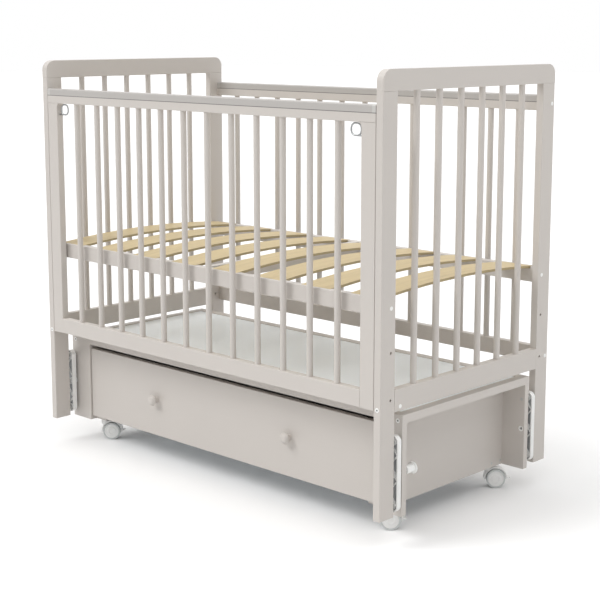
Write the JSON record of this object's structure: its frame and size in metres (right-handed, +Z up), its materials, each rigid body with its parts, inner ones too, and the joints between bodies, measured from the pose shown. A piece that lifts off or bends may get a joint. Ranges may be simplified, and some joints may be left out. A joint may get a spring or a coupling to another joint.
{
  "type": "pendulum crib",
  "caption": "Slatted crib that swings lengthwise on ribbed links from a drawer base on casters, with a drop side and a bowed slat bed base.",
  "frame": {"origin": "on the floor, at the centre of the crib's footprint", "axes": "+X along the crib to its right end, -Y to the drop side and the drawer, +Z up"},
  "size_m": [1.26, 0.664, 1.097],
  "materials": {
    "grey_beech": "satin lacquer",
    "slat_birch": "bare planed wood",
    "cover_plastic": "soft satin",
    "white_plastic": "moulded, satin gloss",
    "cap_plastic": "moulded",
    "white_board": "white coated fibreboard",
    "zinc_steel": "zinc plated",
    "coated_runner": "white powder coat",
    "grey_tread": "soft polyurethane tread"
  },
  "bodies": {
    "base": {"corner_boards": "grey_beech", "base_side_panels": "grey_beech", "base_rear_panel": "grey_beech", "base_long_rails": "grey_beech", "base_top_frame": "grey_beech", "dust_panel": "white_board", "caster_blocks": "grey_beech", "fixed_runners": "coated_runner", "upper_pivot_pins": "zinc_steel", "lock_bushes": "white_plastic", "base_screws": "zinc_steel"},
    "lock_screw": {"lock_knob": "white_plastic"},
    "crib": {"end_top_rails": "grey_beech", "front_posts": "grey_beech", "rear_posts": "grey_beech", "end_bottom_rails": "grey_beech", "end_spindles": "grey_beech", "rear_top_rail": "grey_beech", "rear_bottom_rail": "grey_beech", "rear_spindles": "grey_beech", "rear_rail_cover": "cover_plastic", "front_tie_bar": "grey_beech", "bed_frame": "grey_beech", "bed_slats": "slat_birch", "frame_bolts": "zinc_steel", "bolt_caps": "cap_plastic", "rail_dowels": "grey_beech", "lower_pivot_pins": "zinc_steel"},
    "drop_side": {"drop_top_rail": "grey_beech", "drop_bottom_rail": "grey_beech", "drop_stiles": "grey_beech", "drop_spindles": "grey_beech", "drop_rail_cover": "cover_plastic", "drop_guide_pins": "zinc_steel", "latch_spring_left": "zinc_steel", "latch_spring_right": "zinc_steel"},
    "latch_left": {"latch_wire_left": "zinc_steel"},
    "latch_right": {"latch_wire_right": "zinc_steel"},
    "drawer": {"drawer_front": "grey_beech", "drawer_sides": "grey_beech", "drawer_back": "grey_beech", "drawer_floor": "white_board", "sliding_runners": "coated_runner", "drawer_knobs": "grey_beech"},
    "link_front_left": {"pendulum_link_front_left": "white_plastic"},
    "caster_front_left": {"caster_body_front_left": "white_plastic"},
    "wheels_front_left": {"caster_wheels_front_left": "grey_tread"},
    "brake_front_left": {"caster_brake_front_left": "white_plastic"},
    "link_front_right": {"pendulum_link_front_right": "white_plastic"},
    "caster_front_right": {"caster_body_front_right": "white_plastic"},
    "wheels_front_right": {"caster_wheels_front_right": "grey_tread"},
    "brake_front_right": {"caster_brake_front_right": "white_plastic"},
    "link_rear_left": {"pendulum_link_rear_left": "white_plastic"},
    "caster_rear_left": {"caster_body_rear_left": "white_plastic"},
    "wheels_rear_left": {"caster_wheels_rear_left": "grey_tread"},
    "brake_rear_left": {"caster_brake_rear_left": "white_plastic"},
    "link_rear_right": {"pendulum_link_rear_right": "white_plastic"},
    "caster_rear_right": {"caster_body_rear_right": "white_plastic"},
    "wheels_rear_right": {"caster_wheels_rear_right": "grey_tread"},
    "brake_rear_right": {"caster_brake_rear_right": "white_plastic"}
  },
  "joints": [
    {"name": "swing", "type": "hinge", "parent": "base", "child": "link_front_right", "pos_m": [0.615, -0.2685, 0.246], "axis": [0, 1, 0], "range_deg": [-12, 12]},
    {"name": "link_pivot_front_left", "type": "hinge", "parent": "base", "child": "link_front_left", "pos_m": [-0.615, -0.2685, 0.246], "axis": [0, 1, 0], "range_deg": [-12.5, 12.5]},
    {"name": "link_pivot_rear_left", "type": "hinge", "parent": "base", "child": "link_rear_left", "pos_m": [-0.615, 0.2685, 0.246], "axis": [0, 1, 0], "range_deg": [-12.5, 12.5]},
    {"name": "link_pivot_rear_right", "type": "hinge", "parent": "base", "child": "link_rear_right", "pos_m": [0.615, 0.2685, 0.246], "axis": [0, 1, 0], "range_deg": [-12.5, 12.5]},
    {"name": "crib_level", "type": "hinge", "parent": "link_front_right", "child": "crib", "pos_m": [0.615, -0.2685, 0.0925], "axis": [0, 1, 0], "range_deg": [-12.5, 12.5]},
    {"name": "lock_screw_travel", "type": "slide", "parent": "base", "child": "lock_screw", "axis": [0, -1, 0], "range_m": [0, 0.0067]},
    {"name": "drop_side_slide", "type": "slide", "parent": "crib", "child": "drop_side", "axis": [0, 0, 1], "range_m": [-0.15, 0]},
    {"name": "latch_left_slide", "type": "slide", "parent": "drop_side", "child": "latch_left", "axis": [1, 0, 0], "range_m": [-0.005, 0.01], "stiffness_N_per_m": 300, "deforming": ["latch_spring_left"]},
    {"name": "latch_right_slide", "type": "slide", "parent": "drop_side", "child": "latch_right", "axis": [-1, 0, 0], "range_m": [-0.005, 0.01], "stiffness_N_per_m": 300, "deforming": ["latch_spring_right"]},
    {"name": "drawer_slide", "type": "slide", "parent": "base", "child": "drawer", "axis": [0, -1, 0], "range_m": [0, 0.33]},
    {"name": "caster_swivel_front_left", "type": "hinge", "parent": "base", "child": "caster_front_left", "pos_m": [-0.5315, -0.2125, 0.05], "axis": [0, 0, 1], "continuous": true},
    {"name": "wheel_roll_front_left", "type": "hinge", "parent": "caster_front_left", "child": "wheels_front_left", "pos_m": [-0.51687, -0.19886, 0.025], "axis": [-0.682, 0.7314, 0], "continuous": true},
    {"name": "brake_tip_front_left", "type": "hinge", "parent": "caster_front_left", "child": "brake_front_left", "pos_m": [-0.49603, -0.17942, 0.0265], "axis": [-0.682, 0.7314, 0], "range_deg": [0, 18]},
    {"name": "caster_swivel_front_right", "type": "hinge", "parent": "base", "child": "caster_front_right", "pos_m": [0.5315, -0.2125, 0.05], "axis": [0, 0, 1], "continuous": true},
    {"name": "wheel_roll_front_right", "type": "hinge", "parent": "caster_front_right", "child": "wheels_front_right", "pos_m": [0.54613, -0.19886, 0.025], "axis": [-0.682, 0.7314, 0], "continuous": true},
    {"name": "brake_tip_front_right", "type": "hinge", "parent": "caster_front_right", "child": "brake_front_right", "pos_m": [0.56697, -0.17942, 0.0265], "axis": [-0.682, 0.7314, 0], "range_deg": [0, 18]},
    {"name": "caster_swivel_rear_left", "type": "hinge", "parent": "base", "child": "caster_rear_left", "pos_m": [-0.5315, 0.2125, 0.05], "axis": [0, 0, 1], "continuous": true},
    {"name": "wheel_roll_rear_left", "type": "hinge", "parent": "caster_rear_left", "child": "wheels_rear_left", "pos_m": [-0.51687, 0.22614, 0.025], "axis": [-0.682, 0.7314, 0], "continuous": true},
    {"name": "brake_tip_rear_left", "type": "hinge", "parent": "caster_rear_left", "child": "brake_rear_left", "pos_m": [-0.49603, 0.24558, 0.0265], "axis": [-0.682, 0.7314, 0], "range_deg": [0, 18]},
    {"name": "caster_swivel_rear_right", "type": "hinge", "parent": "base", "child": "caster_rear_right", "pos_m": [0.5315, 0.2125, 0.05], "axis": [0, 0, 1], "continuous": true},
    {"name": "wheel_roll_rear_right", "type": "hinge", "parent": "caster_rear_right", "child": "wheels_rear_right", "pos_m": [0.54613, 0.22614, 0.025], "axis": [-0.682, 0.7314, 0], "continuous": true},
    {"name": "brake_tip_rear_right", "type": "hinge", "parent": "caster_rear_right", "child": "brake_rear_right", "pos_m": [0.56697, 0.24558, 0.0265], "axis": [-0.682, 0.7314, 0], "range_deg": [0, 18]}
  ],
  "couplings": [
    {"joint": "crib_level", "follows": "swing", "ratio": -1},
    {"joint": "link_pivot_front_left", "follows": "swing", "ratio": 1},
    {"joint": "link_pivot_rear_left", "follows": "swing", "ratio": 1},
    {"joint": "link_pivot_rear_right", "follows": "swing", "ratio": 1}
  ]
}
